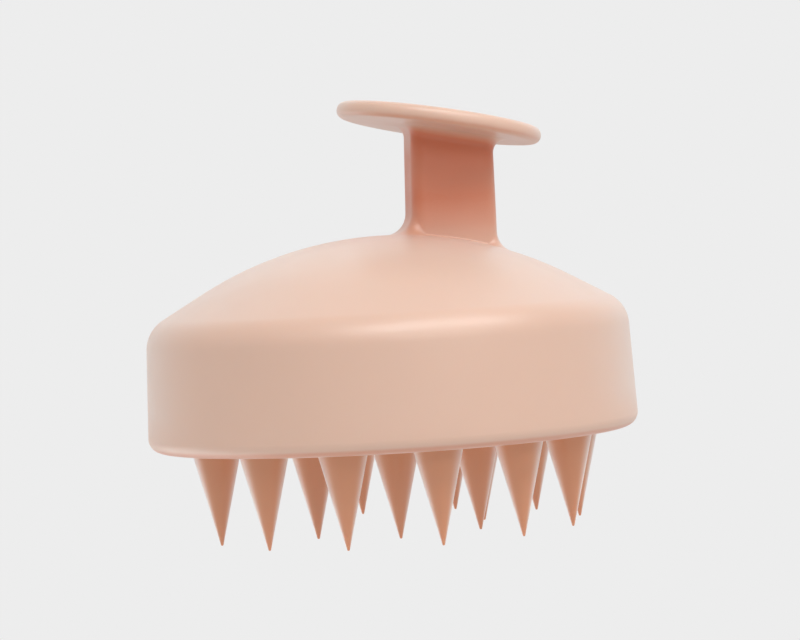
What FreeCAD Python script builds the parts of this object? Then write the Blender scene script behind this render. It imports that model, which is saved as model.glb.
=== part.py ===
"""Scalp massager brush: a hollow bell-shaped body with a flat offset neck and an oval finger plate,
and a pull-off brush head that carries a silicone pad with nineteen conical bristles.

Millimetres.  +Z is up and the bristle tips stand on z = 0.  The origin is on the body's round axis.
The neck and the finger plate are offset towards +X, and the handle's mouldings mirror about X-Z.
"""

import FreeCAD, Part
import math
import os

V = FreeCAD.Vector
UP = V(0, 0, 1)
ORIGIN = V(0, 0, 0)
EPS = 0.02                    # play between a screw and its pilot hole
RUNNING = 0.05                # radial play of the parts that slide when the head is pulled off

# Body: a round skirt with a little draft under a spherical dome whose edge runs on as a tangent cone
RIM_R = 44.0
RIM_Z = 16.6
SKIRT_DRAFT_DEG = 2.3
DOME_R = 66.3
DOME_TOP_Z = 52.9
DOME_EDGE_R = 33.0
WALL = 2.7
SHOULDER_FILLET = 6.2
RIM_FILLET = 2.4

# Neck: a flat bar whose two ends flare out onto the dome
NECK_THICK = 8.6
NECK_FOOT_Z = 52.0
NECK_FOOT_X = (5.0, 20.8)
NECK_HEAD_Z = 72.6
NECK_HEAD_X = (5.8, 21.0)
NECK_CORNER = 2.2
NECK_BORE_CORNER = 1.6
NECK_FLARE = 4.0
NECK_WALL = 2.0
NECK_TOP_FILLET = 2.3
NECK_ROOT_Z = 40.0
NECK_END_Z = 80.0

# Finger plate: an oval disc that slopes down towards +X
PLATE_CENTRE = V(11.8, 0, 72.5)
PLATE_SLOPE_DEG = 11.0
PLATE_SEMI = (18.7, 16.5)
PLATE_THICK = 2.8
PLATE_EDGE = 1.32

# Inlaid cap that closes the hollow neck, in the finger plate's own sloping frame
CAP_BORDER = 3.0
CAP_GAP = 0.1
CAP_THICK = 1.4
CAP_EDGE = 0.3
SPIGOT_SIZE = (10.0, 4.2)
SPIGOT_DEPTH = 5.0
WEB_THICK = 2.0
GASKET_WIDTH = 0.9
GASKET_THICK = 0.5
CAP_SCREW_X = (-0.7, 3.9)

# Brush head, from the bristle tips upwards
PAD_R = 39.0
PAD_Z = 18.5
PAD_THICK = 2.4
PAD_LIP = 2.1
PAD_FLANGE_R = 33.4
PAD_FLANGE_THICK = 1.6
BRISTLE_TIP_R = 0.25
BRISTLE_HALF_ANGLE_DEG = 13.9
BRISTLE_ROOT_FILLET = 0.45
OUTER_RING_R = 33.2
OUTER_ANGLES_DEG = (25, 57, 88, 123, 154, 186, 214, 241, 269, 296, 323, 354)
INNER_RING_R = 17.2
INNER_ANGLES_DEG = (11, 74, 137, 200, 257, 313)
CARRIER_THICK = 3.5
LAND_R = (29.0, 33.3)
RETAINER_R = (29.0, 37.5)
RETAINER_THICK = 2.0
RETAINER_SCREW_PCR = 31.1
RETAINER_SCREW_COUNT = 6

# Stem on the head and socket in the body
SOCKET_R = 6.0
SOCKET_WALL = 2.5
SOCKET_Z = (27.5, 40.0)
STEM_TOP_Z = 38.0
STEM_BORE_R = 2.4
O_RING_Z = 34.8
O_RING_WIRE_R = 0.88
PEG_R = 1.95
PEG_X = 20.0
PEG_TOP_Z = 35.6

# Chassis that holds the socket, screwed up into four bosses under the dome
CHASSIS_R = 38.0
CHASSIS_Z = (31.0, 33.5)
STOP_RIB_R = (33.4, 35.6)
BOSS_R = 3.2
BOSS_PCR = 30.5
BOSS_RIB_THICK = 1.6
COLLAR_Z = (17.2, 30.0)
COLLAR_CHAMFER = 0.6

# Self-tapping screws: shank radius, shank length, head radius, head height
CAP_SCREW = (1.0, 6.0, 1.9, 1.3)
RETAINER_SCREW = (1.0, 5.0, 1.9, 1.4)
CHASSIS_SCREW = (1.2, 9.0, 2.3, 1.6)


def skirt_r(z, inset):
    """Radius of the drafted skirt at a height, moved inwards by inset."""
    draft = math.radians(SKIRT_DRAFT_DEG)
    return (RIM_R * math.cos(draft) + (RIM_Z - z) * math.sin(draft) - inset) / math.cos(draft)


def cone_between(z_low, z_high, inset):
    """The skirt's drafted cone between two heights, moved inwards by inset."""
    return Part.makeCone(skirt_r(z_low, inset), skirt_r(z_high, inset), z_high - z_low, V(0, 0, z_low))


def bell(z_low, inset):
    """The full bell moved inwards by inset: sphere, tangent cone, round shoulder and drafted skirt."""
    slope = math.asin(DOME_EDGE_R / DOME_R)
    draft = math.radians(SKIRT_DRAFT_DEG)
    up_normal = V(math.sin(slope), 0, math.cos(slope))
    out_normal = V(math.cos(draft), 0, math.sin(draft))
    sphere_centre = V(0, 0, DOME_TOP_Z - DOME_R)
    up_reach = DOME_R - SHOULDER_FILLET + sphere_centre.dot(up_normal)
    out_reach = V(RIM_R, 0, RIM_Z).dot(out_normal) - SHOULDER_FILLET
    turn = up_normal.x * out_normal.z - up_normal.z * out_normal.x
    centre_x = (up_reach * out_normal.z - out_reach * up_normal.z) / turn
    centre_z = (out_reach * up_normal.x - up_reach * out_normal.x) / turn
    centre = V(centre_x, 0, centre_z)
    shoulder = SHOULDER_FILLET - inset
    halfway = (up_normal + out_normal).normalize()
    top = sphere_centre + UP * (DOME_R - inset)
    on_sphere = V(math.sin(slope / 2), 0, math.cos(slope / 2))
    sphere_end = sphere_centre + up_normal * (DOME_R - inset)
    arc_start = centre + up_normal * shoulder
    arc_end = centre + out_normal * shoulder
    foot = V(skirt_r(z_low, inset), 0, z_low)
    foot_on_axis = V(0, 0, z_low)
    edges = [Part.Arc(top, sphere_centre + on_sphere * (DOME_R - inset), sphere_end).toShape(),
             Part.LineSegment(sphere_end, arc_start).toShape(),
             Part.Arc(arc_start, centre + halfway * shoulder, arc_end).toShape(),
             Part.LineSegment(arc_end, foot).toShape(),
             Part.LineSegment(foot, foot_on_axis).toShape(),
             Part.LineSegment(foot_on_axis, top).toShape()]
    return Part.Face(Part.Wire(edges)).revolve(ORIGIN, UP, 360)


def is_circle(edge):
    """True for round edges; the seam points of a sphere have no curve and count as not round."""
    return not edge.Degenerated and isinstance(edge.Curve, Part.Circle)


def rounded_rectangle(centre, size, corner):
    """A closed wire in a plane of constant z."""
    half_x, half_y = size[0] / 2, size[1] / 2
    points = [V(-half_x, -half_y, 0), V(half_x, -half_y, 0), V(half_x, half_y, 0), V(-half_x, half_y, 0)]
    sides = []
    corners = []
    diagonal = corner * (1 - math.sqrt(0.5))
    for i, point in enumerate(points):
        following = points[(i + 1) % 4]
        along = (following - point).normalize()
        across = (points[(i + 2) % 4] - following).normalize()
        start = point + along * corner
        end = following - along * corner
        turned = following + across * corner
        middle = following + (across - along) * diagonal
        sides.append(Part.LineSegment(centre + start, centre + end).toShape())
        corners.append(Part.Arc(centre + end, centre + middle, centre + turned).toShape())
    edges = [edge for pair in zip(sides, corners) for edge in pair]
    return Part.Wire(edges)


def neck_side_x(end, z):
    """X of the neck's end face at a height: end 0 is the low-X face and end 1 the high-X face."""
    share = (z - NECK_FOOT_Z) / (NECK_HEAD_Z - NECK_FOOT_Z)
    return NECK_FOOT_X[end] + share * (NECK_HEAD_X[end] - NECK_FOOT_X[end])


def neck_flare(end):
    """Start, middle and end points of the arc from an end face onto the dome, in the X-Z plane."""
    sign = (-1, 1)[end]
    sphere_z = DOME_TOP_Z - DOME_R
    dome_r = math.sqrt(DOME_R ** 2 - (NECK_THICK / 2) ** 2)
    z = NECK_FOOT_Z
    for _ in range(20):
        x = neck_side_x(end, z) + sign * NECK_FLARE
        z = sphere_z + math.sqrt((dome_r + NECK_FLARE) ** 2 - x ** 2)
    centre = V(x, 0, z)
    on_side = V(x - sign * NECK_FLARE, 0, z)
    to_dome = (V(0, 0, sphere_z) - centre).normalize()
    on_dome = centre + to_dome * NECK_FLARE
    halfway = ((on_side - centre).normalize() + to_dome).normalize()
    return on_side, centre + halfway * NECK_FLARE, on_dome


def flared_neck():
    """The neck as a full bar: its outline in the X-Z plane, given its thickness, corners rounded."""
    left_start, left_mid, left_end = neck_flare(0)
    right_start, right_mid, right_end = neck_flare(1)
    left_top = V(neck_side_x(0, NECK_END_Z), 0, NECK_END_Z)
    right_top = V(neck_side_x(1, NECK_END_Z), 0, NECK_END_Z)
    left_root = V(left_end.x, 0, NECK_ROOT_Z)
    right_root = V(right_end.x, 0, NECK_ROOT_Z)
    edges = [Part.LineSegment(left_top, left_start).toShape(),
             Part.Arc(left_start, left_mid, left_end).toShape(),
             Part.LineSegment(left_end, left_root).toShape(),
             Part.LineSegment(left_root, right_root).toShape(),
             Part.LineSegment(right_root, right_end).toShape(),
             Part.Arc(right_end, right_mid, right_start).toShape(),
             Part.LineSegment(right_start, right_top).toShape(),
             Part.LineSegment(right_top, left_top).toShape()]
    outline = Part.Face(Part.Wire(edges))
    outline.translate(V(0, -NECK_THICK / 2, 0))
    bar = outline.extrude(V(0, NECK_THICK, 0))
    corners = [e for e in bar.Edges if runs_down_an_end(e)]
    return bar.makeFillet(NECK_CORNER, corners)


def runs_down_an_end(edge):
    """True for the straight and flared edges at the neck's four long corners."""
    ends = [edge.valueAt(t) for t in (edge.FirstParameter, edge.LastParameter)]
    lengthwise = abs(ends[0].y - ends[1].y) < 0.01
    above_dome = min(p.z for p in ends) > NECK_ROOT_Z + 1
    rising = abs(ends[0].z - ends[1].z) > 0.01
    return lengthwise and above_dome and rising


def neck_bore():
    """The hollow of the neck, up to the finger plate's web."""
    wires = []
    for z in (NECK_ROOT_Z, NECK_END_Z):
        low, high = neck_side_x(0, z) + NECK_WALL, neck_side_x(1, z) - NECK_WALL
        size = (high - low, NECK_THICK - 2 * NECK_WALL)
        wires.append(rounded_rectangle(V((low + high) / 2, 0, z), size, NECK_BORE_CORNER))
    above_web = on_plate(Part.makeBox(80, 80, 80, V(-40, -40, web_bottom)))
    return Part.makeLoft(wires, True, True).cut(above_web)


def on_plate(shape):
    """Moves a shape from the finger plate's own frame to the part's frame."""
    shape.Placement = FreeCAD.Placement(PLATE_CENTRE, FreeCAD.Rotation(V(0, 1, 0), PLATE_SLOPE_DEG))
    return Part.Shape(shape)


def oval_prism(border, z_low, z_high):
    ellipse = Part.Ellipse(V(0, 0, z_low), PLATE_SEMI[0] - border, PLATE_SEMI[1] - border)
    return Part.Face(Part.Wire(ellipse.toShape())).extrude(V(0, 0, z_high - z_low))


def block_prism(size, z_low, z_high, corner=1.0):
    wire = rounded_rectangle(V(0, 0, z_low), size, corner)
    return Part.Face(wire).extrude(V(0, 0, z_high - z_low))


def half_space_below_plate():
    """Everything under the finger plate's middle plane."""
    size = 200.0
    return on_plate(Part.makeBox(size, size, size, V(-size / 2, -size / 2, -size)))


def ring(r_inner, r_outer, z_low, z_high):
    outer = Part.makeCylinder(r_outer, z_high - z_low, V(0, 0, z_low))
    return outer.cut(Part.makeCylinder(r_inner, z_high - z_low, V(0, 0, z_low)))


def around(radius, count, start_deg=0.0):
    """Equally spaced points on a circle about the body's axis."""
    angles = [math.radians(start_deg + 360.0 * i / count) for i in range(count)]
    return [V(radius * math.cos(a), radius * math.sin(a), 0) for a in angles]


def screw(sizes):
    """A cross-recessed screw whose head stands under z = 0 and whose shank points up."""
    shank_r, length, head_r, head_h = sizes
    shank = Part.makeCylinder(shank_r, length)
    point = [e for e in shank.Edges if is_circle(e) and e.CenterOfMass.z > length / 2]
    shank = shank.makeChamfer(shank_r / 2, point)
    head = Part.makeCylinder(head_r, head_h, V(0, 0, -head_h))
    crown = [e for e in head.Edges if is_circle(e) and e.CenterOfMass.z < -head_h / 2]
    head = head.makeFillet(head_h / 2, crown)
    solid = head.fuse(shank)
    slot_w, slot_l, slot_d = head_r * 0.3, head_r * 1.3, head_h * 0.55
    for size_x, size_y in ((slot_w, slot_l), (slot_l, slot_w)):
        solid = solid.cut(Part.makeBox(size_x, size_y, slot_d, V(-size_x / 2, -size_y / 2, -head_h)))
    return solid.removeSplitter()


def screws_at(sizes, points, z_seat, upside_down=False):
    """One screw per point, seated at z_seat, as a compound of separate solids."""
    solids = []
    for point in points:
        solid = screw(sizes)
        if upside_down:
            solid.rotate(ORIGIN, V(1, 0, 0), 180)
        solid.translate(point + V(0, 0, z_seat))
        solids.append(solid)
    return Part.makeCompound(solids)


def cylinders_at(radius, points, z_low, z_high):
    solids = [Part.makeCylinder(radius, z_high - z_low, p + V(0, 0, z_low)) for p in points]
    return Part.makeCompound(solids)


# Points that two parts share
boss_points = around(BOSS_PCR, 4, 45)
retainer_points = around(RETAINER_SCREW_PCR, RETAINER_SCREW_COUNT, 30)
cap_points = [V(x, 0, 0) for x in CAP_SCREW_X]
plate_top = PLATE_THICK / 2
cap_floor = plate_top - CAP_THICK
web_top = cap_floor - SPIGOT_DEPTH
web_bottom = web_top - WEB_THICK
carrier_z = PAD_Z + PAD_THICK
flange_z = carrier_z + CARRIER_THICK
retainer_z = flange_z + PAD_FLANGE_THICK
retainer_top = retainer_z + RETAINER_THICK


def outer_handle():
    """Dome, skirt, neck and finger plate as one full solid, with every outside edge rounded."""
    body = bell(RIM_Z, 0)
    rim = [e for e in body.Edges if is_circle(e) and abs(e.CenterOfMass.z - RIM_Z) < 0.01]
    body = body.makeFillet(RIM_FILLET, rim)
    neck = flared_neck().common(half_space_below_plate())
    plate = oval_prism(0, -plate_top, plate_top)
    plate = on_plate(plate.makeFillet(PLATE_EDGE, [e for e in plate.Edges if e.Closed]))
    solid = body.fuse(neck).fuse(plate).removeSplitter()
    return solid.makeFillet(NECK_TOP_FILLET, [e for e in solid.Edges if on_neck_top(e)])


def on_neck_top(edge):
    """True for the edges where the neck meets the finger plate's underside."""
    normal = FreeCAD.Rotation(V(0, 1, 0), PLATE_SLOPE_DEG).multVec(UP)
    ends = [edge.valueAt(t) for t in (edge.FirstParameter, edge.LastParameter)]
    flush = all(abs((p - PLATE_CENTRE).dot(normal) + plate_top) < 0.01 for p in ends)
    return flush and all(abs(p.y) < NECK_THICK for p in ends)


def bosses(cavity):
    """Four screw bosses under the dome, each tied to the skirt by a rib."""
    shapes = []
    for i, point in enumerate(boss_points):
        height = DOME_TOP_Z - CHASSIS_Z[1]
        boss = Part.makeCylinder(BOSS_R, height, point + V(0, 0, CHASSIS_Z[1]))
        rib_low = V(BOSS_PCR, -BOSS_RIB_THICK / 2, CHASSIS_Z[1])
        rib = Part.makeBox(RIM_R - BOSS_PCR, BOSS_RIB_THICK, height, rib_low)
        rib.rotate(ORIGIN, UP, 45 + 90 * i)
        shapes += [boss, rib]
    solid = shapes[0].multiFuse(shapes[1:])
    return solid.common(cavity)


def body_shell():
    """Hollow shell: dome, skirt, neck and finger plate moulded in one piece."""
    cavity = bell(RIM_Z, WALL)
    shell = outer_handle().cut(cavity).cut(neck_bore())
    shell = shell.cut(on_plate(oval_prism(CAP_BORDER, cap_floor, PLATE_THICK)))
    pocket = (SPIGOT_SIZE[0] + 2 * CAP_GAP, SPIGOT_SIZE[1] + 2 * CAP_GAP)
    shell = shell.cut(on_plate(block_prism(pocket, web_top, cap_floor)))
    shell = shell.cut(on_plate(gasket_prism()))
    screw_holes = cylinders_at(CAP_SCREW[0] + RUNNING, cap_points, web_bottom - 1, web_top + 1)
    shell = shell.cut(on_plate(screw_holes))
    shell = shell.fuse(bosses(cavity))
    pilot_top = CHASSIS_Z[0] + CHASSIS_SCREW[1] + 0.5
    pilot = cylinders_at(CHASSIS_SCREW[0] + EPS, boss_points, CHASSIS_Z[1] - 1, pilot_top)
    return shell.cut(pilot).removeSplitter()


def gasket_prism():
    inside = (SPIGOT_SIZE[0] + 2 * CAP_GAP, SPIGOT_SIZE[1] + 2 * CAP_GAP)
    outside = (inside[0] + 2 * GASKET_WIDTH, inside[1] + 2 * GASKET_WIDTH)
    low = cap_floor - GASKET_THICK
    return block_prism(outside, low, cap_floor, 1.0 + GASKET_WIDTH).cut(block_prism(inside, low, cap_floor))


def grip_cap():
    """Oval inlay flush with the finger plate's top, with a spigot that plugs the neck."""
    cover = oval_prism(CAP_BORDER + CAP_GAP, cap_floor, plate_top)
    crown = [e for e in cover.Edges if e.Closed and e.CenterOfMass.z > plate_top - 0.01]
    cover = cover.makeFillet(CAP_EDGE, crown)
    solid = cover.fuse(block_prism(SPIGOT_SIZE, web_top, cap_floor))
    pilot_top = web_bottom + CAP_SCREW[1] + 0.3
    pilot = cylinders_at(CAP_SCREW[0] + EPS, cap_points, web_top - 1, pilot_top)
    return on_plate(solid.cut(pilot).removeSplitter())


def cap_gasket():
    return on_plate(gasket_prism())


def cap_screws():
    """Two screws driven up the hollow neck, through its web and into the cap's spigot."""
    return on_plate(screws_at(CAP_SCREW, cap_points, web_bottom))


def chassis():
    """Plate with the socket for the head's stem, and a rib that takes the pressing load."""
    low, high = CHASSIS_Z
    solid = Part.makeCylinder(CHASSIS_R, high - low, V(0, 0, low))
    tube_r = SOCKET_R + SOCKET_WALL
    tube = Part.makeCylinder(tube_r, SOCKET_Z[1] - SOCKET_Z[0] + SOCKET_WALL, V(0, 0, SOCKET_Z[0]))
    solid = solid.fuse(tube).fuse(ring(*STOP_RIB_R, retainer_top, low))
    solid = solid.cut(Part.makeCylinder(SOCKET_R, SOCKET_Z[1] - SOCKET_Z[0], V(0, 0, SOCKET_Z[0])))
    peg_points = [V(-PEG_X, 0, 0), V(PEG_X, 0, 0)]
    solid = solid.cut(cylinders_at(PEG_R + RUNNING, peg_points, low - 1, high + 1))
    solid = solid.cut(cylinders_at(CHASSIS_SCREW[0] + RUNNING, boss_points, low - 1, high + 1))
    return solid.removeSplitter()


def chassis_screws():
    return screws_at(CHASSIS_SCREW, boss_points, CHASSIS_Z[0])


def rim_collar():
    """Ring bonded inside the skirt; its bore guides and seals the head."""
    outer = cone_between(COLLAR_Z[0], COLLAR_Z[1], WALL)
    bore = Part.makeCylinder(PAD_R + RUNNING, COLLAR_Z[1] - COLLAR_Z[0], V(0, 0, COLLAR_Z[0]))
    solid = outer.cut(bore)
    mouth = [e for e in solid.Edges if is_circle(e) and abs(e.Curve.Radius - PAD_R - RUNNING) < 0.01
             and e.CenterOfMass.z < COLLAR_Z[0] + 0.01]
    return solid.makeChamfer(COLLAR_CHAMFER, mouth)


def bristle_points():
    """The middle bristle, then the inner ring of six and the outer ring of twelve."""
    points = [ORIGIN]
    for radius, degrees in ((INNER_RING_R, INNER_ANGLES_DEG), (OUTER_RING_R, OUTER_ANGLES_DEG)):
        angles = [math.radians(d) for d in degrees]
        points += [V(radius * math.cos(a), radius * math.sin(a), 0) for a in angles]
    return points


def bristle_pad():
    """Silicone moulding: conical bristles under a disc whose lip wraps the carrier's edge."""
    root_r = BRISTLE_TIP_R + PAD_Z * math.tan(math.radians(BRISTLE_HALF_ANGLE_DEG))
    disc = Part.makeCylinder(PAD_R, PAD_THICK, V(0, 0, PAD_Z))
    lip = ring(PAD_R - PAD_LIP, PAD_R, carrier_z, flange_z)
    flange = ring(PAD_FLANGE_R, PAD_R, flange_z, retainer_z)
    cones = [Part.makeCone(BRISTLE_TIP_R, root_r, PAD_Z, p) for p in bristle_points()]
    solid = disc.multiFuse([lip, flange] + cones).removeSplitter()
    roots = [e for e in solid.Edges if is_circle(e) and abs(e.Curve.Radius - root_r) < 0.01]
    return solid.makeFillet(BRISTLE_ROOT_FILLET, roots)


def head_carrier():
    """Rigid disc inside the silicone pad, with the stem and two anti-turn pegs on top."""
    solid = Part.makeCylinder(PAD_R - PAD_LIP, CARRIER_THICK, V(0, 0, carrier_z))
    solid = solid.fuse(ring(*LAND_R, flange_z, retainer_z))
    stem_r = SOCKET_R - RUNNING
    stem = Part.makeCylinder(stem_r, STEM_TOP_Z - flange_z, V(0, 0, flange_z))
    nose = [e for e in stem.Edges if is_circle(e) and e.CenterOfMass.z > STEM_TOP_Z - 0.01]
    stem = stem.makeChamfer(0.6, nose)
    groove = ring(o_ring_centre_r() - O_RING_WIRE_R - EPS, stem_r + 1, O_RING_Z - 1.0, O_RING_Z + 1.0)
    bore = Part.makeCylinder(STEM_BORE_R, STEM_TOP_Z - flange_z, V(0, 0, flange_z + 1))
    solid = solid.fuse(stem).cut(groove).cut(bore)
    pegs = []
    for x in (-PEG_X, PEG_X):
        peg = Part.makeCylinder(PEG_R, PEG_TOP_Z - flange_z, V(x, 0, flange_z))
        tip = [e for e in peg.Edges if is_circle(e) and e.CenterOfMass.z > PEG_TOP_Z - 0.01]
        pegs.append(peg.makeChamfer(0.5, tip))
    solid = solid.multiFuse(pegs)
    pilot_low = retainer_top - RETAINER_SCREW[1] - 0.3
    return solid.cut(cylinders_at(RETAINER_SCREW[0] + EPS, retainer_points, pilot_low, retainer_z + 1))


def o_ring_centre_r():
    """Centre-line radius that leaves the ring just clear of the socket wall."""
    return SOCKET_R - 2 * EPS - O_RING_WIRE_R


def stem_o_ring():
    return Part.makeTorus(o_ring_centre_r(), O_RING_WIRE_R, V(0, 0, O_RING_Z))


def retainer_ring():
    """Flat ring that clamps the silicone flange down onto the carrier."""
    solid = ring(*RETAINER_R, retainer_z, retainer_top)
    top = [e for e in solid.Edges if is_circle(e) and e.CenterOfMass.z > retainer_top - 0.01
           and e.Curve.Radius > RETAINER_R[0] + 1]
    solid = solid.makeFillet(0.5, top)
    holes = cylinders_at(RETAINER_SCREW[0] + RUNNING, retainer_points, retainer_z - 1, retainer_top + 1)
    return solid.cut(holes)


def retainer_screws():
    return screws_at(RETAINER_SCREW, retainer_points, retainer_top, upside_down=True)


NODES = (body_shell, grip_cap, cap_gasket, cap_screws, chassis, chassis_screws, rim_collar,
         bristle_pad, head_carrier, stem_o_ring, retainer_ring, retainer_screws)

os.makedirs("parts", exist_ok=True)
for make in NODES:
    shape = make()
    print(make.__name__, shape.isValid(), len(shape.Solids), round(shape.Volume, 1))
    shape.exportStep("parts/" + make.__name__ + ".step")
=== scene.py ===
"""Looks of the scalp massager brush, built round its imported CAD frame.

Metres, in the CAD frame: +Z up, bristle tips on z = 0, the neck and finger plate offset towards +X.
The shell, its cap and the bristle pad are closed quad meshes; every loop of one mesh has the same
number of points, so neighbouring loops join point to point.
"""

import math

import bmesh
import bpy
import numpy as np
from mathutils import Matrix, Vector


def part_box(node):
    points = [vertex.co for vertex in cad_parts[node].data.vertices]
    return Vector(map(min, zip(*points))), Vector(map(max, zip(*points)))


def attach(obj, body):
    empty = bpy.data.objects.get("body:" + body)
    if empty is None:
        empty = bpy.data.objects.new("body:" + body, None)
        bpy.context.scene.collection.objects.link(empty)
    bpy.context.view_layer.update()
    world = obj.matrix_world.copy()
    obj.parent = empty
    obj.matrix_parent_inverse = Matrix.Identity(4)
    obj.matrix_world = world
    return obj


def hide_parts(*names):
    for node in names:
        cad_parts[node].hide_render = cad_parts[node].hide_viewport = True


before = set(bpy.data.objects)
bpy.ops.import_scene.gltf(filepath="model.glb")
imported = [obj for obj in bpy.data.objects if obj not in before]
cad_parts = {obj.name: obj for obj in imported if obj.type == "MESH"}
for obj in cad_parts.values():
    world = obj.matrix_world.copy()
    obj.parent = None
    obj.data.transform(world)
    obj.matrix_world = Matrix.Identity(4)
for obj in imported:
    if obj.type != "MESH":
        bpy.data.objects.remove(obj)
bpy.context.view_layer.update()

MM = 0.001

# ---------------------------------------------------------------- sizes, in metres
shell_low, shell_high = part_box("body_shell")
pad_low, pad_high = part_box("bristle_pad")

RIM_R = 44.0 * MM
RIM_Z = shell_low.z
SKIRT_DRAFT = math.radians(2.3)
WALL = 2.7 * MM
RIM_FILLET = 2.4 * MM
RIM_INNER_EDGE = 0.25 * MM
DOME_R = 66.3 * MM
DOME_TOP_Z = 52.9 * MM
DOME_CENTRE_Z = DOME_TOP_Z - DOME_R
DOME_EDGE_R = 33.0 * MM
DOME_SLOPE = math.asin(DOME_EDGE_R / DOME_R)
SHOULDER_FILLET = 6.2 * MM

NECK_THICK = 8.6 * MM
NECK_FOOT_Z = 52.0 * MM
NECK_FOOT_X = (5.0 * MM, 20.8 * MM)
NECK_HEAD_Z = 72.6 * MM
NECK_HEAD_X = (5.8 * MM, 21.0 * MM)
NECK_CORNER = 2.2 * MM
NECK_BORE_CORNER = 1.6 * MM
NECK_WALL = 2.0 * MM
FLARE_AT_ENDS = 4.0 * MM
FLARE_AT_SIDES = 0.35 * MM
NECK_TOP_FILLET = 2.3 * MM

PLATE_CENTRE = np.array((11.8, 0.0, 72.5)) * MM
PLATE_SLOPE = math.radians(11.0)
PLATE_SEMI = (18.7 * MM, 16.5 * MM)
PLATE_HALF = 1.4 * MM
PLATE_EDGE = 1.32 * MM
CAP_BORDER = 3.0 * MM
CAP_GAP = 0.1 * MM
CAP_THICK = 1.4 * MM
CAP_EDGE = 0.25 * MM
SPIGOT_HALF = (5.0 * MM, 2.1 * MM)
SPIGOT_CORNER = 1.0 * MM
SPIGOT_DEPTH = 5.0 * MM
WEB_THICK = 2.0 * MM

BRISTLE_TIP_R = 0.25 * MM
BRISTLE_HALF_ANGLE = math.radians(13.9)
BRISTLE_ROOT_FILLET = 0.45 * MM
PAD_Z = 18.5 * MM
PAD_THICK = 2.4 * MM
PAD_LIP = 2.1 * MM
PAD_FLANGE_R = 33.4 * MM
PAD_EDGE = 0.35 * MM
CARRIER_THICK = 3.5 * MM
OUTER_RING_R = 33.2 * MM
OUTER_ANGLES_DEG = (25, 57, 88, 123, 154, 186, 214, 241, 269, 296, 323, 354)
INNER_RING_R = 17.2 * MM
INNER_ANGLES_DEG = (11, 74, 137, 200, 257, 313)

# Points along a quarter of the neck's outline; the whole outline has 132 points
HALF_END_STEPS = 6
CORNER_STEPS = 10
SIDE_STEPS = 34


# ---------------------------------------------------------------- mesh helpers
def new_object(name, mesh):
    obj = bpy.data.objects.new(name, mesh)
    bpy.context.scene.collection.objects.link(obj)
    return obj


def smooth_with_sharp_edges(mesh, degrees=50.0):
    """Smooth shading, with edges sharper than the angle kept crisp."""
    mesh.polygons.foreach_set("use_smooth", [True] * len(mesh.polygons))
    mesh.set_sharp_from_angle(angle=math.radians(degrees))


def loops_to_bmesh(bm, loops, start_pole=None, end_pole=None):
    """Joins closed loops of equal length with quads, and closes either end with a fan to a pole."""
    rows = [[bm.verts.new(tuple(p)) for p in loop] for loop in loops]
    count = len(rows[0])
    for low, high in zip(rows, rows[1:]):
        for i in range(count):
            k = (i + 1) % count
            bm.faces.new((low[i], low[k], high[k], high[i]))
    for pole, row, flip in ((start_pole, rows[0], True), (end_pole, rows[-1], False)):
        if pole is None:
            continue
        centre = bm.verts.new(tuple(pole))
        for i in range(count):
            k = (i + 1) % count
            ends = (row[k], row[i]) if flip else (row[i], row[k])
            bm.faces.new((centre, *ends))
    return rows


def finish_mesh(name, bm, sharp_degrees=50.0):
    bmesh.ops.recalc_face_normals(bm, faces=bm.faces)
    mesh = bpy.data.meshes.new(name)
    bm.to_mesh(mesh)
    bm.free()
    smooth_with_sharp_edges(mesh, sharp_degrees)
    return new_object(name, mesh)


def circle_loop(radius, z, count):
    angles = np.arange(count) * (2 * math.pi / count)
    return np.stack((radius * np.cos(angles), radius * np.sin(angles), np.full(count, z)), axis=1)


def arc_points(centre, radius, start, end, steps):
    """(r, z) points of an arc in a half plane, both ends included."""
    angles = np.linspace(start, end, steps + 1)
    return [(centre[0] + radius * math.cos(a), centre[1] + radius * math.sin(a)) for a in angles]


def turn_between(first, second, steps):
    """Unit vectors from first to second in equal turns; both are (count, 3) arrays of unit vectors."""
    angle = np.arccos(np.clip((first * second).sum(axis=1), -1, 1))[:, None]
    turned = []
    for t in np.linspace(0, 1, steps + 1):
        turned.append((np.sin((1 - t) * angle) * first + np.sin(t * angle) * second) / np.sin(angle))
    return turned


# ---------------------------------------------------------------- outline of the neck
def bar_outline():
    """Shares of the straight runs in x and y, and the outward angle, of each point round the bar."""
    share_x, share_y, angle = [], [], []
    quarter = math.pi / 2

    def run(count, x_from, x_to, y_from, y_to, a_from, a_to):
        for i in range(count):
            t = i / count
            share_x.append(x_from + t * (x_to - x_from))
            share_y.append(y_from + t * (y_to - y_from))
            angle.append(a_from + t * (a_to - a_from))

    run(HALF_END_STEPS, 1, 1, 0, 1, 0, 0)
    run(CORNER_STEPS, 1, 1, 1, 1, 0, quarter)
    run(SIDE_STEPS, 1, -1, 1, 1, quarter, quarter)
    run(CORNER_STEPS, -1, -1, 1, 1, quarter, 2 * quarter)
    run(2 * HALF_END_STEPS, -1, -1, 1, -1, 2 * quarter, 2 * quarter)
    run(CORNER_STEPS, -1, -1, -1, -1, 2 * quarter, 3 * quarter)
    run(SIDE_STEPS, -1, 1, -1, -1, 3 * quarter, 3 * quarter)
    run(CORNER_STEPS, 1, 1, -1, -1, 3 * quarter, 4 * quarter)
    run(HALF_END_STEPS, 1, 1, -1, 0, 4 * quarter, 4 * quarter)
    return np.array(share_x), np.array(share_y), np.array(angle)


BAR_X, BAR_Y, BAR_ANGLE = bar_outline()
COUNT = len(BAR_ANGLE)
BAR_NORMAL = np.stack((np.cos(BAR_ANGLE), np.sin(BAR_ANGLE), np.zeros(COUNT)), axis=1)


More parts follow.
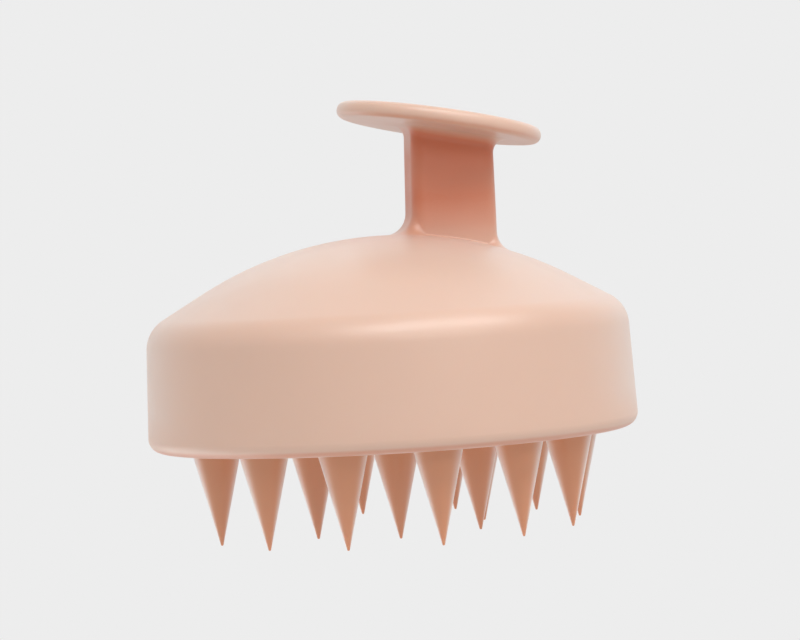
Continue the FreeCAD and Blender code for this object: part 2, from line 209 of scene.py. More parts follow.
def rounded_loop(centre_x, half_x, half_y, corner):
    """x and y of the rounded rectangle's points; the sizes may be arrays, one value per point."""
    x = centre_x + BAR_X * (half_x - corner) + corner * np.cos(BAR_ANGLE)
    y = BAR_Y * (half_y - corner) + corner * np.sin(BAR_ANGLE)
    return x, y


def neck_loop(z, inset=0.0):
    """The neck's outline points at the heights z, moved inwards by inset."""
    share = (z - NECK_FOOT_Z) / (NECK_HEAD_Z - NECK_FOOT_Z)
    low = NECK_FOOT_X[0] + share * (NECK_HEAD_X[0] - NECK_FOOT_X[0])
    high = NECK_FOOT_X[1] + share * (NECK_HEAD_X[1] - NECK_FOOT_X[1])
    corner = NECK_BORE_CORNER if inset else NECK_CORNER
    x, y = rounded_loop((low + high) / 2, (high - low) / 2 - inset, NECK_THICK / 2 - inset, corner)
    return np.stack((x, y, z), axis=1)


# ---------------------------------------------------------------- the finger plate's sloping frame
PLATE_X = np.array((math.cos(PLATE_SLOPE), 0, -math.sin(PLATE_SLOPE)))
PLATE_Y = np.array((0.0, 1.0, 0.0))
PLATE_UP = np.array((math.sin(PLATE_SLOPE), 0, math.cos(PLATE_SLOPE)))


def from_plate(x, y, z):
    x, y = np.asarray(x, float), np.asarray(y, float)
    return PLATE_CENTRE + x[:, None] * PLATE_X + y[:, None] * PLATE_Y + z * PLATE_UP


def plate_point(z):
    return PLATE_CENTRE + z * PLATE_UP


def plate_plane_z(points, offset):
    """Height of the plane that lies offset above the plate's middle plane, over each point."""
    along = (points[:, 0] - PLATE_CENTRE[0]) * math.tan(PLATE_SLOPE)
    return PLATE_CENTRE[2] + offset / math.cos(PLATE_SLOPE) - along


def oval_loop(inset, z):
    angles = np.arange(COUNT) * (2 * math.pi / COUNT)
    return from_plate((PLATE_SEMI[0] - inset) * np.cos(angles), (PLATE_SEMI[1] - inset) * np.sin(angles), z)


def spigot_loop(gap, z):
    x, y = rounded_loop(0.0, SPIGOT_HALF[0] + gap, SPIGOT_HALF[1] + gap, SPIGOT_CORNER)
    return from_plate(x, y, z)


def shrink(loop, towards, share):
    return loop + (towards - loop) * share


def between(first, last, steps, include_ends=False):
    """Loops evenly between two loops."""
    shares = np.linspace(0, 1, steps + 1)
    if not include_ends:
        shares = shares[1:-1]
    return [first + (last - first) * s for s in shares]


# ---------------------------------------------------------------- shell
CAP_FLOOR = PLATE_HALF - CAP_THICK
WEB_TOP = CAP_FLOOR - SPIGOT_DEPTH
WEB_BOTTOM = WEB_TOP - WEB_THICK


def plate_top_loops():
    """From the web in the neck up the spigot's pocket, over the cap's recess to the plate's border."""
    pocket_low = spigot_loop(CAP_GAP, WEB_TOP)
    pocket_high = spigot_loop(CAP_GAP, CAP_FLOOR)
    recess = oval_loop(CAP_BORDER, CAP_FLOOR)
    loops = [shrink(pocket_low, plate_point(WEB_TOP), 0.5), pocket_low]
    loops += between(pocket_low, pocket_high, 4) + [pocket_high]
    loops += between(pocket_high, recess, 5) + [recess]
    lip = PLATE_HALF - CAP_EDGE
    loops.append(oval_loop(CAP_BORDER, (CAP_FLOOR + lip) / 2))
    for angle in np.linspace(0, math.pi / 2, 5):
        inset = CAP_BORDER - CAP_EDGE * (1 - math.cos(angle))
        loops.append(oval_loop(inset, lip + CAP_EDGE * math.sin(angle)))
    loops += between(loops[-1], oval_loop(PLATE_EDGE, PLATE_HALF), 3)
    return loops


def plate_edge_loops():
    """The plate's full-round edge from its top to its underside."""
    straight = PLATE_HALF - PLATE_EDGE
    loops = []
    for sign, angles in ((1, np.linspace(math.pi / 2, 0, 9)), (-1, np.linspace(0, -math.pi / 2, 9))):
        for angle in angles:
            inset = PLATE_EDGE * (1 - math.cos(angle))
            loops.append(oval_loop(inset, sign * straight + PLATE_EDGE * math.sin(angle)))
    return loops


def neck_top_loops():
    """The fillet from the plate's underside onto the neck."""
    z = np.full(COUNT, NECK_HEAD_Z)
    for _ in range(12):
        centres = neck_loop(z) + BAR_NORMAL * NECK_TOP_FILLET
        z = plate_plane_z(centres, -PLATE_HALF) - NECK_TOP_FILLET / math.cos(PLATE_SLOPE)
    centres[:, 2] = z
    up = np.tile(PLATE_UP, (COUNT, 1))
    return [centres + NECK_TOP_FILLET * d for d in turn_between(up, -BAR_NORMAL, 8)]


def flare_loops():
    """The fillet from the neck onto the dome, wide at the neck's ends and tight along its sides."""
    share = np.abs(np.cos(BAR_ANGLE))
    share = share * share * (3 - 2 * share)
    radius = FLARE_AT_SIDES + (FLARE_AT_ENDS - FLARE_AT_SIDES) * share
    z = np.full(COUNT, NECK_FOOT_Z)
    for _ in range(12):
        centres = neck_loop(z) + BAR_NORMAL * radius[:, None]
        z = DOME_CENTRE_Z + np.sqrt((DOME_R + radius) ** 2 - centres[:, 0] ** 2 - centres[:, 1] ** 2)
    centres[:, 2] = z
    down = np.array((0, 0, DOME_CENTRE_Z)) - centres
    down /= np.linalg.norm(down, axis=1)[:, None]
    return [centres + radius[:, None] * d for d in turn_between(-BAR_NORMAL, down, 10)]


def dome_z(points, inset=0.0):
    """Height of the dome over each point: a sphere, carried on as a tangent cone beyond its edge."""
    r = np.hypot(points[:, 0], points[:, 1])
    sphere_r = DOME_R - inset
    edge_r = sphere_r * math.sin(DOME_SLOPE)
    on_sphere = np.sqrt(sphere_r ** 2 - np.minimum(r, edge_r) ** 2)
    return DOME_CENTRE_Z + on_sphere - np.maximum(r - edge_r, 0) * math.tan(DOME_SLOPE)


def skirt_profile(inset):
    """(r, z) round the shoulder, from the dome's cone to the skirt, for a wall moved inwards by inset."""
    up_normal = np.array((math.sin(DOME_SLOPE), math.cos(DOME_SLOPE)))
    out_normal = np.array((math.cos(SKIRT_DRAFT), math.sin(SKIRT_DRAFT)))
    up_reach = DOME_R - SHOULDER_FILLET + DOME_CENTRE_Z * up_normal[1]
    out_reach = out_normal @ (RIM_R, RIM_Z) - SHOULDER_FILLET
    centre = np.linalg.solve((up_normal, out_normal), (up_reach, out_reach))
    return arc_points(centre, SHOULDER_FILLET - inset, math.pi / 2 - DOME_SLOPE, SKIRT_DRAFT, 14)


def skirt_r(z, inset):
    across = RIM_R * math.cos(SKIRT_DRAFT) + RIM_Z * math.sin(SKIRT_DRAFT) - inset
    return (across - z * math.sin(SKIRT_DRAFT)) / math.cos(SKIRT_DRAFT)


def dome_loops(foot):
    """From the neck's foot outwards over the sphere to the shoulder; the steps grow with distance."""
    r, z = skirt_profile(0.0)[0]
    edge = circle_loop(r, z, COUNT)
    steps = 30
    growth = 1.07
    loops = []
    for k in range(1, steps):
        share = (growth ** k - 1) / (growth ** steps - 1)
        loop = foot + (edge - foot) * share
        loop[:, 2] = dome_z(loop)
        loops.append(loop)
    return loops


def skirt_loops():
    """Shoulder, skirt, rounded rim and the inside of the skirt and the dome."""
    outline = skirt_profile(0.0)
    top = outline[-1][1]
    low = RIM_Z + RIM_FILLET
    for z in np.linspace(top, low, 14)[1:]:
        outline.append((skirt_r(z, 0.0), z))
    rim_centre = (skirt_r(low, RIM_FILLET), low)
    outline += arc_points(rim_centre, RIM_FILLET, SKIRT_DRAFT, -math.pi / 2, 12)[1:]
    inner_centre = (skirt_r(RIM_Z, WALL) + RIM_INNER_EDGE, RIM_Z + RIM_INNER_EDGE)
    outline += arc_points(inner_centre, RIM_INNER_EDGE, -math.pi / 2, -math.pi, 3)
    inside = skirt_profile(WALL)
    for z in np.linspace(RIM_Z + RIM_INNER_EDGE, inside[-1][1], 10)[1:-1]:
        outline.append((skirt_r(z, WALL), z))
    outline += inside[::-1]
    return [circle_loop(r, z, COUNT) for r, z in outline]


def bore_loops(edge):
    """The inside of the dome from its edge to the neck's bore, and up the bore to the web."""
    z = np.full(COUNT, NECK_FOOT_Z)
    for _ in range(12):
        mouth = neck_loop(z, NECK_WALL)
        z = dome_z(mouth, WALL)
    mouth[:, 2] = z
    loops = []
    for share in np.linspace(0, 1, 13)[1:-1]:
        loop = edge + (mouth - edge) * share
        loop[:, 2] = dome_z(loop, WALL)
        loops.append(loop)
    top_z = plate_plane_z(neck_loop(np.full(COUNT, NECK_HEAD_Z), NECK_WALL), WEB_BOTTOM)
    top = neck_loop(top_z, NECK_WALL)
    loops += between(mouth, top, 6, include_ends=True)
    loops.append(shrink(top, plate_point(WEB_BOTTOM), 0.5))
    return loops


def build_shell():
    loops = plate_top_loops() + plate_edge_loops()
    fillet = neck_top_loops()
    loops += between(loops[-1], fillet[0], 10)
    loops += fillet
    flare = flare_loops()
    loops += between(fillet[-1], flare[0], 16)
    loops += flare
    loops += dome_loops(flare[-1])
    loops += skirt_loops()
    loops += bore_loops(loops[-1])
    bm = bmesh.new()
    loops_to_bmesh(bm, loops, plate_point(WEB_TOP), plate_point(WEB_BOTTOM))
    return finish_mesh("outer_shell", bm, 40.0)


def build_cap():
    """Oval inlay with a softened edge and its spigot."""
    side = CAP_BORDER + CAP_GAP
    loops = []
    rounding = PLATE_HALF - CAP_EDGE
    edge_loops = []
    for angle in np.linspace(math.pi / 2, 0, 5):
        inset = side + CAP_EDGE * (1 - math.cos(angle))
        edge_loops.append(oval_loop(inset, rounding + CAP_EDGE * math.sin(angle)))
    middle = plate_point(PLATE_HALF)
    loops += [shrink(edge_loops[0], middle, share) for share in (0.9, 0.75, 0.6, 0.45, 0.3, 0.15, 0.05)]
    loops += edge_loops
    bottom = oval_loop(side, CAP_FLOOR + 0.02 * MM)
    loops.append(bottom)
    spigot_top = spigot_loop(0.0, CAP_FLOOR + 0.02 * MM)
    spigot_end = spigot_loop(0.0, WEB_TOP + 0.05 * MM)
    loops += between(bottom, spigot_top, 4) + between(spigot_top, spigot_end, 4, include_ends=True)
    bm = bmesh.new()
    loops_to_bmesh(bm, loops, middle, plate_point(WEB_TOP + 0.05 * MM))
    return finish_mesh("finger_cap", bm, 40.0)


# ---------------------------------------------------------------- bristle pad
BRISTLE_STEPS = 48
PAD_STEPS = 144


def bristle_places():
    places = [(0.0, 0.0)]
    for radius, degrees in ((INNER_RING_R, INNER_ANGLES_DEG), (OUTER_RING_R, OUTER_ANGLES_DEG)):
        for angle in map(math.radians, degrees):
            places.append((radius * math.cos(angle), radius * math.sin(angle)))
    return places


def bristle_profile():
    """(r, z) from the rounded tip up the cone and out over the root fillet to the pad's face."""
    slope = BRISTLE_HALF_ANGLE
    centre_z = BRISTLE_TIP_R
    outline = arc_points((0.0, centre_z), BRISTLE_TIP_R, -math.pi / 2 + 0.2, -slope, 7)
    foot_r, foot_z = outline[-1]
    corner_r = foot_r + (PAD_Z - foot_z) * math.tan(slope)
    reach = BRISTLE_ROOT_FILLET * math.tan((math.pi / 2 - slope) / 2)
    end_z = PAD_Z - reach * math.cos(slope)
    for z in np.linspace(foot_z, end_z, 16)[1:]:
        outline.append((foot_r + (z - foot_z) * math.tan(slope), z))
    fillet_centre = (corner_r + reach, PAD_Z - BRISTLE_ROOT_FILLET)
    outline += arc_points(fillet_centre, BRISTLE_ROOT_FILLET, math.pi - slope, math.pi / 2, 6)[1:]
    return outline


def add_bristles(bm):
    """Adds every bristle and returns the edges of their root circles on the pad's face."""
    profile = bristle_profile()
    root_edges = []
    for x, y in bristle_places():
        loops = []
        for r, z in profile:
            loop = circle_loop(r, z, BRISTLE_STEPS)
            loops.append(loop + np.array((x, y, 0)))
        rows = loops_to_bmesh(bm, loops, start_pole=(x, y, 0.0))
        root = rows[-1]
        for i in range(BRISTLE_STEPS):
            root_edges.append(bm.edges.get((root[i], root[(i + 1) % BRISTLE_STEPS])))
    return root_edges


def pad_outline():
    """(r, z) from the pad's face round its edge and lip, over the flange and down to the carrier's seat."""
    outer = pad_high.x
    top = pad_high.z
    seat = PAD_Z + PAD_THICK
    flange_low = seat + CARRIER_THICK
    inner = outer - PAD_LIP
    outline = [(outer - PAD_EDGE - 0.25 * MM, PAD_Z)]
    outline += arc_points((outer - PAD_EDGE, PAD_Z + PAD_EDGE), PAD_EDGE, -math.pi / 2, 0, 4)
    outline += arc_points((outer - PAD_EDGE, top - PAD_EDGE), PAD_EDGE, 0, math.pi / 2, 4)
    outline += arc_points((PAD_FLANGE_R + PAD_EDGE, top - PAD_EDGE), PAD_EDGE, math.pi / 2, math.pi, 4)
    outline += [(PAD_FLANGE_R, flange_low), (inner, flange_low), (inner, seat), (inner * 0.6, seat)]
    return outline


def build_pad():
    bm = bmesh.new()
    root_edges = add_bristles(bm)
    outline = pad_outline()
    loops = [circle_loop(r, z, PAD_STEPS) for r, z in outline]
    rows = loops_to_bmesh(bm, loops, end_pole=(0, 0, outline[-1][1]))
    rim = rows[0]
    rim_edges = [bm.edges.get((rim[i], rim[(i + 1) % PAD_STEPS])) for i in range(PAD_STEPS)]
    bmesh.ops.triangle_fill(bm, edges=root_edges + rim_edges, use_beauty=True, normal=(0, 0, -1))
    return finish_mesh("silicone_pad", bm, 40.0)


# ---------------------------------------------------------------- materials
def node_material(name):
    material = bpy.data.materials.new(name)
    material.use_nodes = True
    nodes = material.node_tree.nodes
    return material, nodes, material.node_tree.links, nodes["Principled BSDF"]


def noise(nodes, links, coords, scale, detail=3.0, roughness=0.5):
    node = nodes.new("ShaderNodeTexNoise")
    node.inputs["Scale"].default_value = scale
    node.inputs["Detail"].default_value = detail
    node.inputs["Roughness"].default_value = roughness
    links.new(coords.outputs["Object"], node.inputs["Vector"])
    return node.outputs["Fac"]


def remap(nodes, links, value, low, high):
    node = nodes.new("ShaderNodeMapRange")
    node.inputs["From Min"].default_value = 0.3
    node.inputs["From Max"].default_value = 0.7
    node.inputs["To Min"].default_value = low
    node.inputs["To Max"].default_value = high
    links.new(value, node.inputs["Value"])
    return node.outputs["Result"]


def colour_between(nodes, links, value, dark, light):
    node = nodes.new("ShaderNodeMix")
    node.data_type = "RGBA"
    node.inputs["A"].default_value = (*dark, 1)
    node.inputs["B"].default_value = (*light, 1)
    links.new(value, node.inputs["Factor"])
    return node.outputs["Result"]


def bump(nodes, links, height, distance, strength=1.0, normal=None):
    node = nodes.new("ShaderNodeBump")
    node.inputs["Distance"].default_value = distance
    node.inputs["Strength"].default_value = strength
    links.new(height, node.inputs["Height"])
    if normal is not None:
        links.new(normal, node.inputs["Normal"])
    return node.outputs["Normal"]


def openness(nodes, links, reach, closed=0.5):
    """0 in a hollow corner, 1 on open faces; it marks where shade is painted into the colour."""
    occlusion = nodes.new("ShaderNodeAmbientOcclusion")
    occlusion.samples = 6
    occlusion.inputs["Distance"].default_value = reach
    node = nodes.new("ShaderNodeMapRange")
    node.inputs["From Min"].default_value = closed
    node.inputs["From Max"].default_value = 0.97
    links.new(occlusion.outputs["AO"], node.inputs["Value"])
    return node.outputs["Result"]


def by_height(nodes, links, coords, stops):
    """A value that changes with height along straight ramps; stops are (height, value) pairs."""
    split = nodes.new("ShaderNodeSeparateXYZ")
    links.new(coords.outputs["Object"], split.inputs["Vector"])
    low, high = stops[0][0], stops[-1][0]
    along = nodes.new("ShaderNodeMapRange")
    along.inputs["From Min"].default_value = low
    along.inputs["From Max"].default_value = high
    links.new(split.outputs["Z"], along.inputs["Value"])
    ramp = nodes.new("ShaderNodeValToRGB")
    links.new(along.outputs["Result"], ramp.inputs["Fac"])
    elements = ramp.color_ramp.elements
    for height, _ in stops[1:-1]:
        elements.new((height - low) / (high - low))
    for element, (_, value) in zip(elements, stops):
        element.color = (value, value, value, 1)
    return ramp.outputs["Color"]


def math_node(nodes, links, operation, first, second):
    node = nodes.new("ShaderNodeMath")
    node.operation = operation
    links.new(first, node.inputs[0])
    links.new(second, node.inputs[1])
    return node.outputs["Value"]


def painted_light_and_shade_share(nodes, links, coords):
    """Share of the painted lit colour against the painted shade colour: painted shade in hollows, a painted
    shadow of the finger plate across the neck and a painted dark band along the rim; painted light keeps
    the dome, the neck's foot and downward faces lit.
    """
    # Painted shade where the ambient-occlusion node finds the surface hemmed in.
    painted_occlusion_shade = openness(nodes, links, 24.0 * MM, 0.68)
    # Painted light: faces below 50 mm keep at least 85 % of the lit colour, fading out up the neck's foot
    # by 59 mm.
    painted_light_dome_and_neck_foot = ((50.0 * MM, 0.85), (53.0 * MM, 0.65), (59.0 * MM, 0.0), (60.0 * MM, 0.0))
    # Painted shade: a thin dark band along the rim's lip, with the lit share held to 55 %.
    rim_painted_shade = ((16.6 * MM, 1.0), (16.8 * MM, 0.55), (17.3 * MM, 0.55), (17.7 * MM, 1.0))
    # Painted shadow of the finger plate across the neck's middle, with the lit share held to 70 %.
    neck = ((50.0 * MM, 1.0), (56.0 * MM, 0.7), (66.0 * MM, 0.7), (69.0 * MM, 1.0))
    least = by_height(nodes, links, coords, painted_light_dome_and_neck_foot)
    most = by_height(nodes, links, coords, rim_painted_shade + neck)
    split = nodes.new("ShaderNodeSeparateXYZ")
    links.new(coords.outputs["Normal"], split.inputs["Vector"])
    # Painted light from below: faces turned downwards take the lit colour.
    painted_light_from_below = nodes.new("ShaderNodeMapRange")
    painted_light_from_below.inputs["From Min"].default_value = -0.4
    painted_light_from_below.inputs["From Max"].default_value = -0.9
    painted_light_from_below.inputs["To Max"].default_value = 1.0
    links.new(split.outputs["Z"], painted_light_from_below.inputs["Value"])
    share = math_node(nodes, links, "MAXIMUM", painted_occlusion_shade, least)
    share = math_node(nodes, links, "MAXIMUM", share, painted_light_from_below.outputs["Result"])
    return math_node(nodes, links, "MINIMUM", share, most)


def set_or_link(links, socket, value):
    if isinstance(value, float):
        socket.default_value = value
    else:
        links.new(value, socket)


def painted_grazing_sheen(nodes, links, colour, start, end, most, painted_light_colour):
    """Painted sheen: mixes the colour towards a lighter one where the surface turns away from the eye; most
    is a number or a node's output.
    """
    weight = nodes.new("ShaderNodeLayerWeight")
    weight.inputs["Blend"].default_value = 0.5
    share = nodes.new("ShaderNodeMapRange")
    share.interpolation_type = "SMOOTHSTEP"
    share.inputs["From Min"].default_value = start
    share.inputs["From Max"].default_value = end
    set_or_link(links, share.inputs["To Max"], most)
    links.new(weight.outputs["Facing"], share.inputs["Value"])
    mix = nodes.new("ShaderNodeMix")
    mix.data_type = "RGBA"
    mix.inputs["B"].default_value = painted_light_colour
    links.new(share.outputs["Result"], mix.inputs["Factor"])
    links.new(colour, mix.inputs["A"])
    return mix.outputs["Result"]


def mottled(nodes, links, coords, colour, spread):
    """A colour that drifts a little lighter and darker over the surface."""
    cloud = remap(nodes, links, noise(nodes, links, coords, 38.0, 4.0), 0.0, 1.0)
    dark = tuple(c * (1 - spread) for c in colour)
    light = tuple(c * (1 + spread) for c in colour)
    return colour_between(nodes, links, cloud, dark, light)


def moulded_plastic(name, painted_shade_colour, painted_light_colour, roughness, scatter, sheen):
    """Soft-touch moulded plastic: fine spark-erosion grain, faint flow marks, slightly uneven gloss. Its
    colour is mixed from a painted shade colour and a painted lit colour, and turns lighter as a painted
    sheen at grazing angles.
    """
    material, nodes, links, bsdf = node_material(name)
    coords = nodes.new("ShaderNodeTexCoord")
    colour = nodes.new("ShaderNodeMix")
    colour.data_type = "RGBA"
    # Painted shade and painted light: the mix between the shade colour and the lit colour.
    links.new(painted_light_and_shade_share(nodes, links, coords), colour.inputs["Factor"])
    links.new(mottled(nodes, links, coords, painted_shade_colour, 0.02), colour.inputs["A"])
    links.new(mottled(nodes, links, coords, painted_light_colour, 0.015), colour.inputs["B"])
    # Painted sheen: how far the colour turns lighter at grazing angles, by height on the skirt, dome and
    # plate.
    skirt_and_dome = ((18.0 * MM, 0.0), (24.0 * MM, 0.5), (51.0 * MM, 0.5), (56.0 * MM, 0.0))
    plate = ((66.5 * MM, 0.0), (70.0 * MM, 0.5))
    painted_sheen_limit = by_height(nodes, links, coords, skirt_and_dome + plate)
    # The light pinkish colour is the painted sheen.
    painted_sheen_colour = painted_grazing_sheen(nodes, links, colour.outputs["Result"], 0.35, 0.9, painted_sheen_limit, (0.66, 0.55, 0.49, 1))
    links.new(painted_sheen_colour, bsdf.inputs["Base Color"])
    gloss = remap(nodes, links, noise(nodes, links, coords, 120.0, 5.0), roughness - 0.04, roughness + 0.04)
    links.new(gloss, bsdf.inputs["Roughness"])
    grain = bump(nodes, links, noise(nodes, links, coords, 2600.0, 2.0), 0.012 * MM, 0.6)
    flow = bump(nodes, links, noise(nodes, links, coords, 45.0, 1.0), 0.05 * MM, 0.25, grain)
    links.new(flow, bsdf.inputs["Normal"])
    bsdf.inputs["Specular IOR Level"].default_value = 0.85
    bsdf.inputs["Subsurface Weight"].default_value = scatter
    bsdf.inputs["Subsurface Radius"].default_value = (1.0, 0.45, 0.25)
    bsdf.inputs["Subsurface Scale"].default_value = 1.5 * MM
    bsdf.inputs["Sheen Weight"].default_value = sheen
    bsdf.inputs["Sheen Roughness"].default_value = 0.5
    return material


def silicone(name, painted_shade_colour, painted_light_colour, roughness, scatter, scale):
    """Dust-matte silicone: light enters it, and its surface has a very fine orange-peel. Its colour carries
    painted shade in the hollows between the bristles and a painted sheen where it turns away from the eye.
    """
    material, nodes, links, bsdf = node_material(name)
    coords = nodes.new("ShaderNodeTexCoord")
    colour = nodes.new("ShaderNodeMix")
    colour.data_type = "RGBA"
    # Painted shade: the hollows between the bristles take the shade colour.
    links.new(openness(nodes, links, 16.0 * MM), colour.inputs["Factor"])
    links.new(mottled(nodes, links, coords, painted_shade_colour, 0.03), colour.inputs["A"])
    links.new(mottled(nodes, links, coords, painted_light_colour, 0.02), colour.inputs["B"])
    # Painted sheen: a light pink at grazing angles.
    painted_sheen_colour = painted_grazing_sheen(nodes, links, colour.outputs["Result"], 0.18, 0.85, 0.75, (0.78, 0.64, 0.58, 1))
    links.new(painted_sheen_colour, bsdf.inputs["Base Color"])
    gloss = remap(nodes, links, noise(nodes, links, coords, 200.0, 4.0), roughness - 0.05, roughness + 0.05)
    links.new(gloss, bsdf.inputs["Roughness"])
    peel = bump(nodes, links, noise(nodes, links, coords, 1400.0, 2.0), 0.01 * MM, 0.5)
    links.new(peel, bsdf.inputs["Normal"])
    bsdf.inputs["Specular IOR Level"].default_value = 0.8
    bsdf.inputs["Subsurface Weight"].default_value = scatter
    bsdf.inputs["Subsurface Radius"].default_value = (1.0, 0.4, 0.2)
    bsdf.inputs["Subsurface Scale"].default_value = scale
    bsdf.inputs["Sheen Weight"].default_value = 1.0
    bsdf.inputs["Sheen Roughness"].default_value = 0.45
    return material


def steel(name):
    """Zinc-bright steel with fine turning marks."""
    material, nodes, links, bsdf = node_material(name)
    coords = nodes.new("ShaderNodeTexCoord")
    value = noise(nodes, links, coords, 900.0, 4.0)
    colour = colour_between(nodes, links, value, (0.46, 0.46, 0.48), (0.70, 0.70, 0.72))
    links.new(colour, bsdf.inputs["Base Color"])
    links.new(remap(nodes, links, value, 0.22, 0.40), bsdf.inputs["Roughness"])
    links.new(bump(nodes, links, value, 0.01 * MM, 0.4), bsdf.inputs["Normal"])
    bsdf.inputs["Metallic"].default_value = 1.0
    return material


# Painted shade colour, painted lit colour, roughness, share of light that enters, then sheen or the depth
# it enters to; for the bristles the shade colour is a saturated painted bounce.
peach = moulded_plastic("peach_plastic", (0.54, 0.105, 0.016), (0.64, 0.42, 0.32), 0.38, 0.12, 0.0)
bristle_silicone = silicone(
    "bristle_silicone", (0.64, 0.275, 0.125), (0.58, 0.24, 0.115), 0.40, 0.3, 2.0 * MM)
natural = moulded_plastic("natural_plastic", (0.60, 0.56, 0.50), (0.74, 0.71, 0.65), 0.42, 0.12, 0.0)
seal = silicone("seal_silicone", (0.42, 0.41, 0.40), (0.52, 0.51, 0.49), 0.38, 0.3, 1.0 * MM)
screw_steel = steel("screw_steel")

NODE_MATERIALS = {
    "rim_collar": peach,
    "chassis": natural,
    "head_carrier": natural,
    "retainer_ring": natural,
    "cap_gasket": seal,
    "stem_o_ring": seal,
    "cap_screws": screw_steel,
    "chassis_screws": screw_steel,
    "retainer_screws": screw_steel,
}


# ---------------------------------------------------------------- put the pieces on the frame
def place(obj, body, node, material):
    obj.data.materials.append(material)
    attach(obj, body)
    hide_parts(node)


place(build_shell(), "handle", "body_shell", peach)
place(build_cap(), "handle", "grip_cap", peach)
place(build_pad(), "brush_head", "bristle_pad", bristle_silicone)

def soften_edges(node, width):
    """Joins the faces of a CAD node at their seams and rounds its sharp edges."""
    weld = node.modifiers.new("weld", "WELD")
    weld.merge_threshold = 0.002 * MM
    bevel = node.modifiers.new("edge_radius", "BEVEL")
    bevel.width = width
    bevel.segments = 2
    bevel.limit_method = "ANGLE"
    bevel.angle_limit = math.radians(50.0)
    bevel.use_clamp_overlap = True


for node_name, material in NODE_MATERIALS.items():
    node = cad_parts[node_name]
    node.data.materials.clear()
    node.data.materials.append(material)
    if node_name not in ("cap_gasket", "stem_o_ring"):
        soften_edges(node, 0.15 * MM)


# ---------------------------------------------------------------- floor, light and camera
BACKGROUND = 0.847
VIEW_TURN = math.radians(14.0)


def grey_only_for_camera(tree, links, nodes, lit):
    """Mixes a plain grey seen by the camera with what the other rays see."""
    path = nodes.new("ShaderNodeLightPath")
    plain = nodes.new("ShaderNodeEmission" if tree != "world" else "ShaderNodeBackground")
    plain.inputs["Color"].default_value = (BACKGROUND, BACKGROUND, BACKGROUND, 1)
    mix = nodes.new("ShaderNodeMixShader")
    links.new(path.outputs["Is Camera Ray"], mix.inputs["Fac"])
    links.new(lit, mix.inputs[1])
    links.new(plain.outputs[0], mix.inputs[2])
    return mix.outputs[0]


def build_world():
    """A white studio, brighter behind the brush than in front of it."""
    world = bpy.data.worlds.new("studio")
    bpy.context.scene.world = world
    world.use_nodes = True
    nodes, links = world.node_tree.nodes, world.node_tree.links
    background = nodes["Background"]
    coords = nodes.new("ShaderNodeTexCoord")
    along_view = nodes.new("ShaderNodeVectorMath")
    along_view.operation = "DOT_PRODUCT"
    along_view.inputs[1].default_value = (math.sin(VIEW_TURN), math.cos(VIEW_TURN), 0)
    links.new(coords.outputs["Generated"], along_view.inputs[0])
    strength = nodes.new("ShaderNodeMapRange")
    strength.inputs["From Min"].default_value = -1.0
    strength.inputs["From Max"].default_value = 1.0
    strength.inputs["To Min"].default_value = 0.53
    strength.inputs["To Max"].default_value = 1.0
    links.new(along_view.outputs["Value"], strength.inputs["Value"])
    links.new(strength.outputs["Result"], background.inputs["Strength"])
    background.inputs["Color"].default_value = (1, 1, 1, 1)
    result = grey_only_for_camera("world", links, nodes, background.outputs[0])
    links.new(result, nodes["World Output"].inputs["Surface"])


def build_floor():
    half, depth = 8.0, 1.2
    bm = bmesh.new()
    corners = ((-half, -half), (half, -half), (half, half), (-half, half))
    bm.faces.new([bm.verts.new((x, y, -depth)) for x, y in corners])
    floor = finish_mesh("floor", bm)
    material, nodes, links, bsdf = node_material("pale_floor")
    bsdf.inputs["Base Color"].default_value = (0.6, 0.6, 0.6, 1)
    bsdf.inputs["Roughness"].default_value = 0.8
    bsdf.inputs["Emission Color"].default_value = (1, 1, 1, 1)
    bsdf.inputs["Emission Strength"].default_value = 0.35
    result = grey_only_for_camera("floor", links, nodes, bsdf.outputs[0])
    links.new(result, nodes["Material Output"].inputs["Surface"])
    floor.data.materials.append(material)


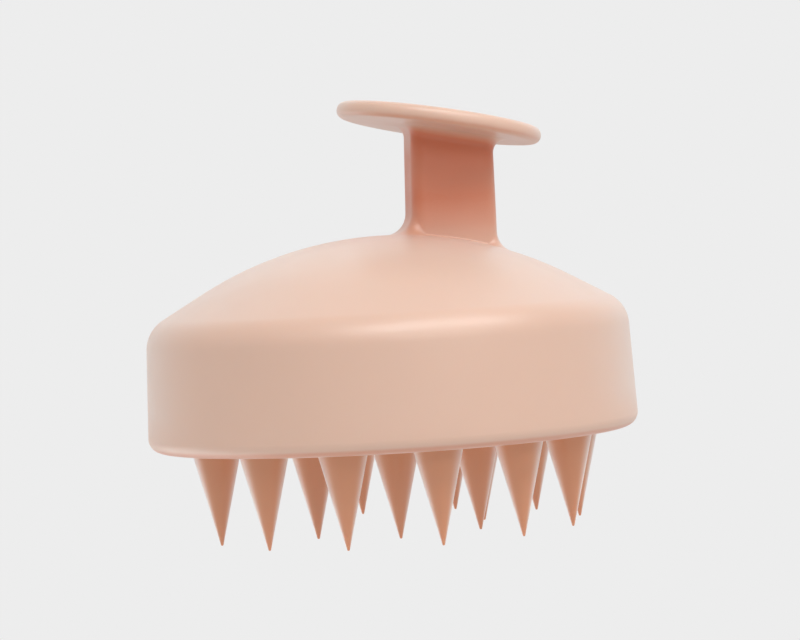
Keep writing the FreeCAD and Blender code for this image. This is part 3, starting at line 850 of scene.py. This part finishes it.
def area_light(name, place_m, target_m, size, power, colour=(1, 1, 1)):
    data = bpy.data.lights.new(name, "AREA")
    data.shape = "RECTANGLE"
    data.size, data.size_y = size
    data.energy = power
    data.color = colour
    light = new_object(name, data)
    light.location = place_m
    aim = Vector(target_m) - Vector(place_m)
    light.rotation_mode = "QUATERNION"
    light.rotation_quaternion = aim.to_track_quat("-Z", "Y")
    return light


def studio_light(name, azimuth_deg, height_deg, distance, size, power):
    """An area light aimed at the brush; azimuth counts from the camera, positive to its right."""
    azimuth, height = math.radians(azimuth_deg) - VIEW_TURN, math.radians(height_deg)
    level = Vector((math.sin(azimuth), -math.cos(azimuth), 0))
    out = level * math.cos(height) + Vector((0, 0, math.sin(height)))
    aim = Vector((0, 0, 0.035))
    return area_light(name, aim + out * distance, aim, size, power)


def build_camera():
    """A long lens almost level with the dome, rolled a little, the brush turned a little to the left."""
    focal_px, image_width = 2784.0, 800.0
    pitch, roll = math.radians(1.421), math.radians(3.398)
    distance, shift_right, shift_up = 500.0 * MM, -2.492 * MM, 2.304 * MM
    target = Vector((0, 0, 40.0 * MM))
    forward = Vector((0, math.cos(pitch), -math.sin(pitch)))
    level_up = Vector((0, math.sin(pitch), math.cos(pitch)))
    level_right = Vector((1, 0, 0))
    right = level_right * math.cos(roll) - level_up * math.sin(roll)
    up = level_right * math.sin(roll) + level_up * math.cos(roll)
    eye = target - right * shift_right - up * shift_up - forward * distance
    axes = Matrix((right, up, -forward)).transposed()
    into_part = Matrix.Rotation(-VIEW_TURN, 3, "Z")
    data = bpy.data.cameras.new("camera")
    data.sensor_width = 36.0
    data.lens = focal_px * data.sensor_width / image_width
    data.clip_start, data.clip_end = 0.01, 50.0
    camera = new_object("camera", data)
    camera.matrix_world = Matrix.Translation(into_part @ eye) @ (into_part @ axes).to_4x4()
    bpy.context.scene.camera = camera


build_world()
build_floor()
studio_light("key", 26.0, 52.0, 1.0, (1.2, 0.5), 6.9)
studio_light("front", 24.0, 20.0, 1.0, (0.9, 0.2), 1.1)
studio_light("low_back", -120.0, -35.0, 0.55, (0.4, 0.4), 0.6)
studio_light("high_back", 165.0, 48.0, 1.0, (1.2, 0.8), 0.5)
build_camera()
bpy.context.scene.view_settings.view_transform = "Standard"
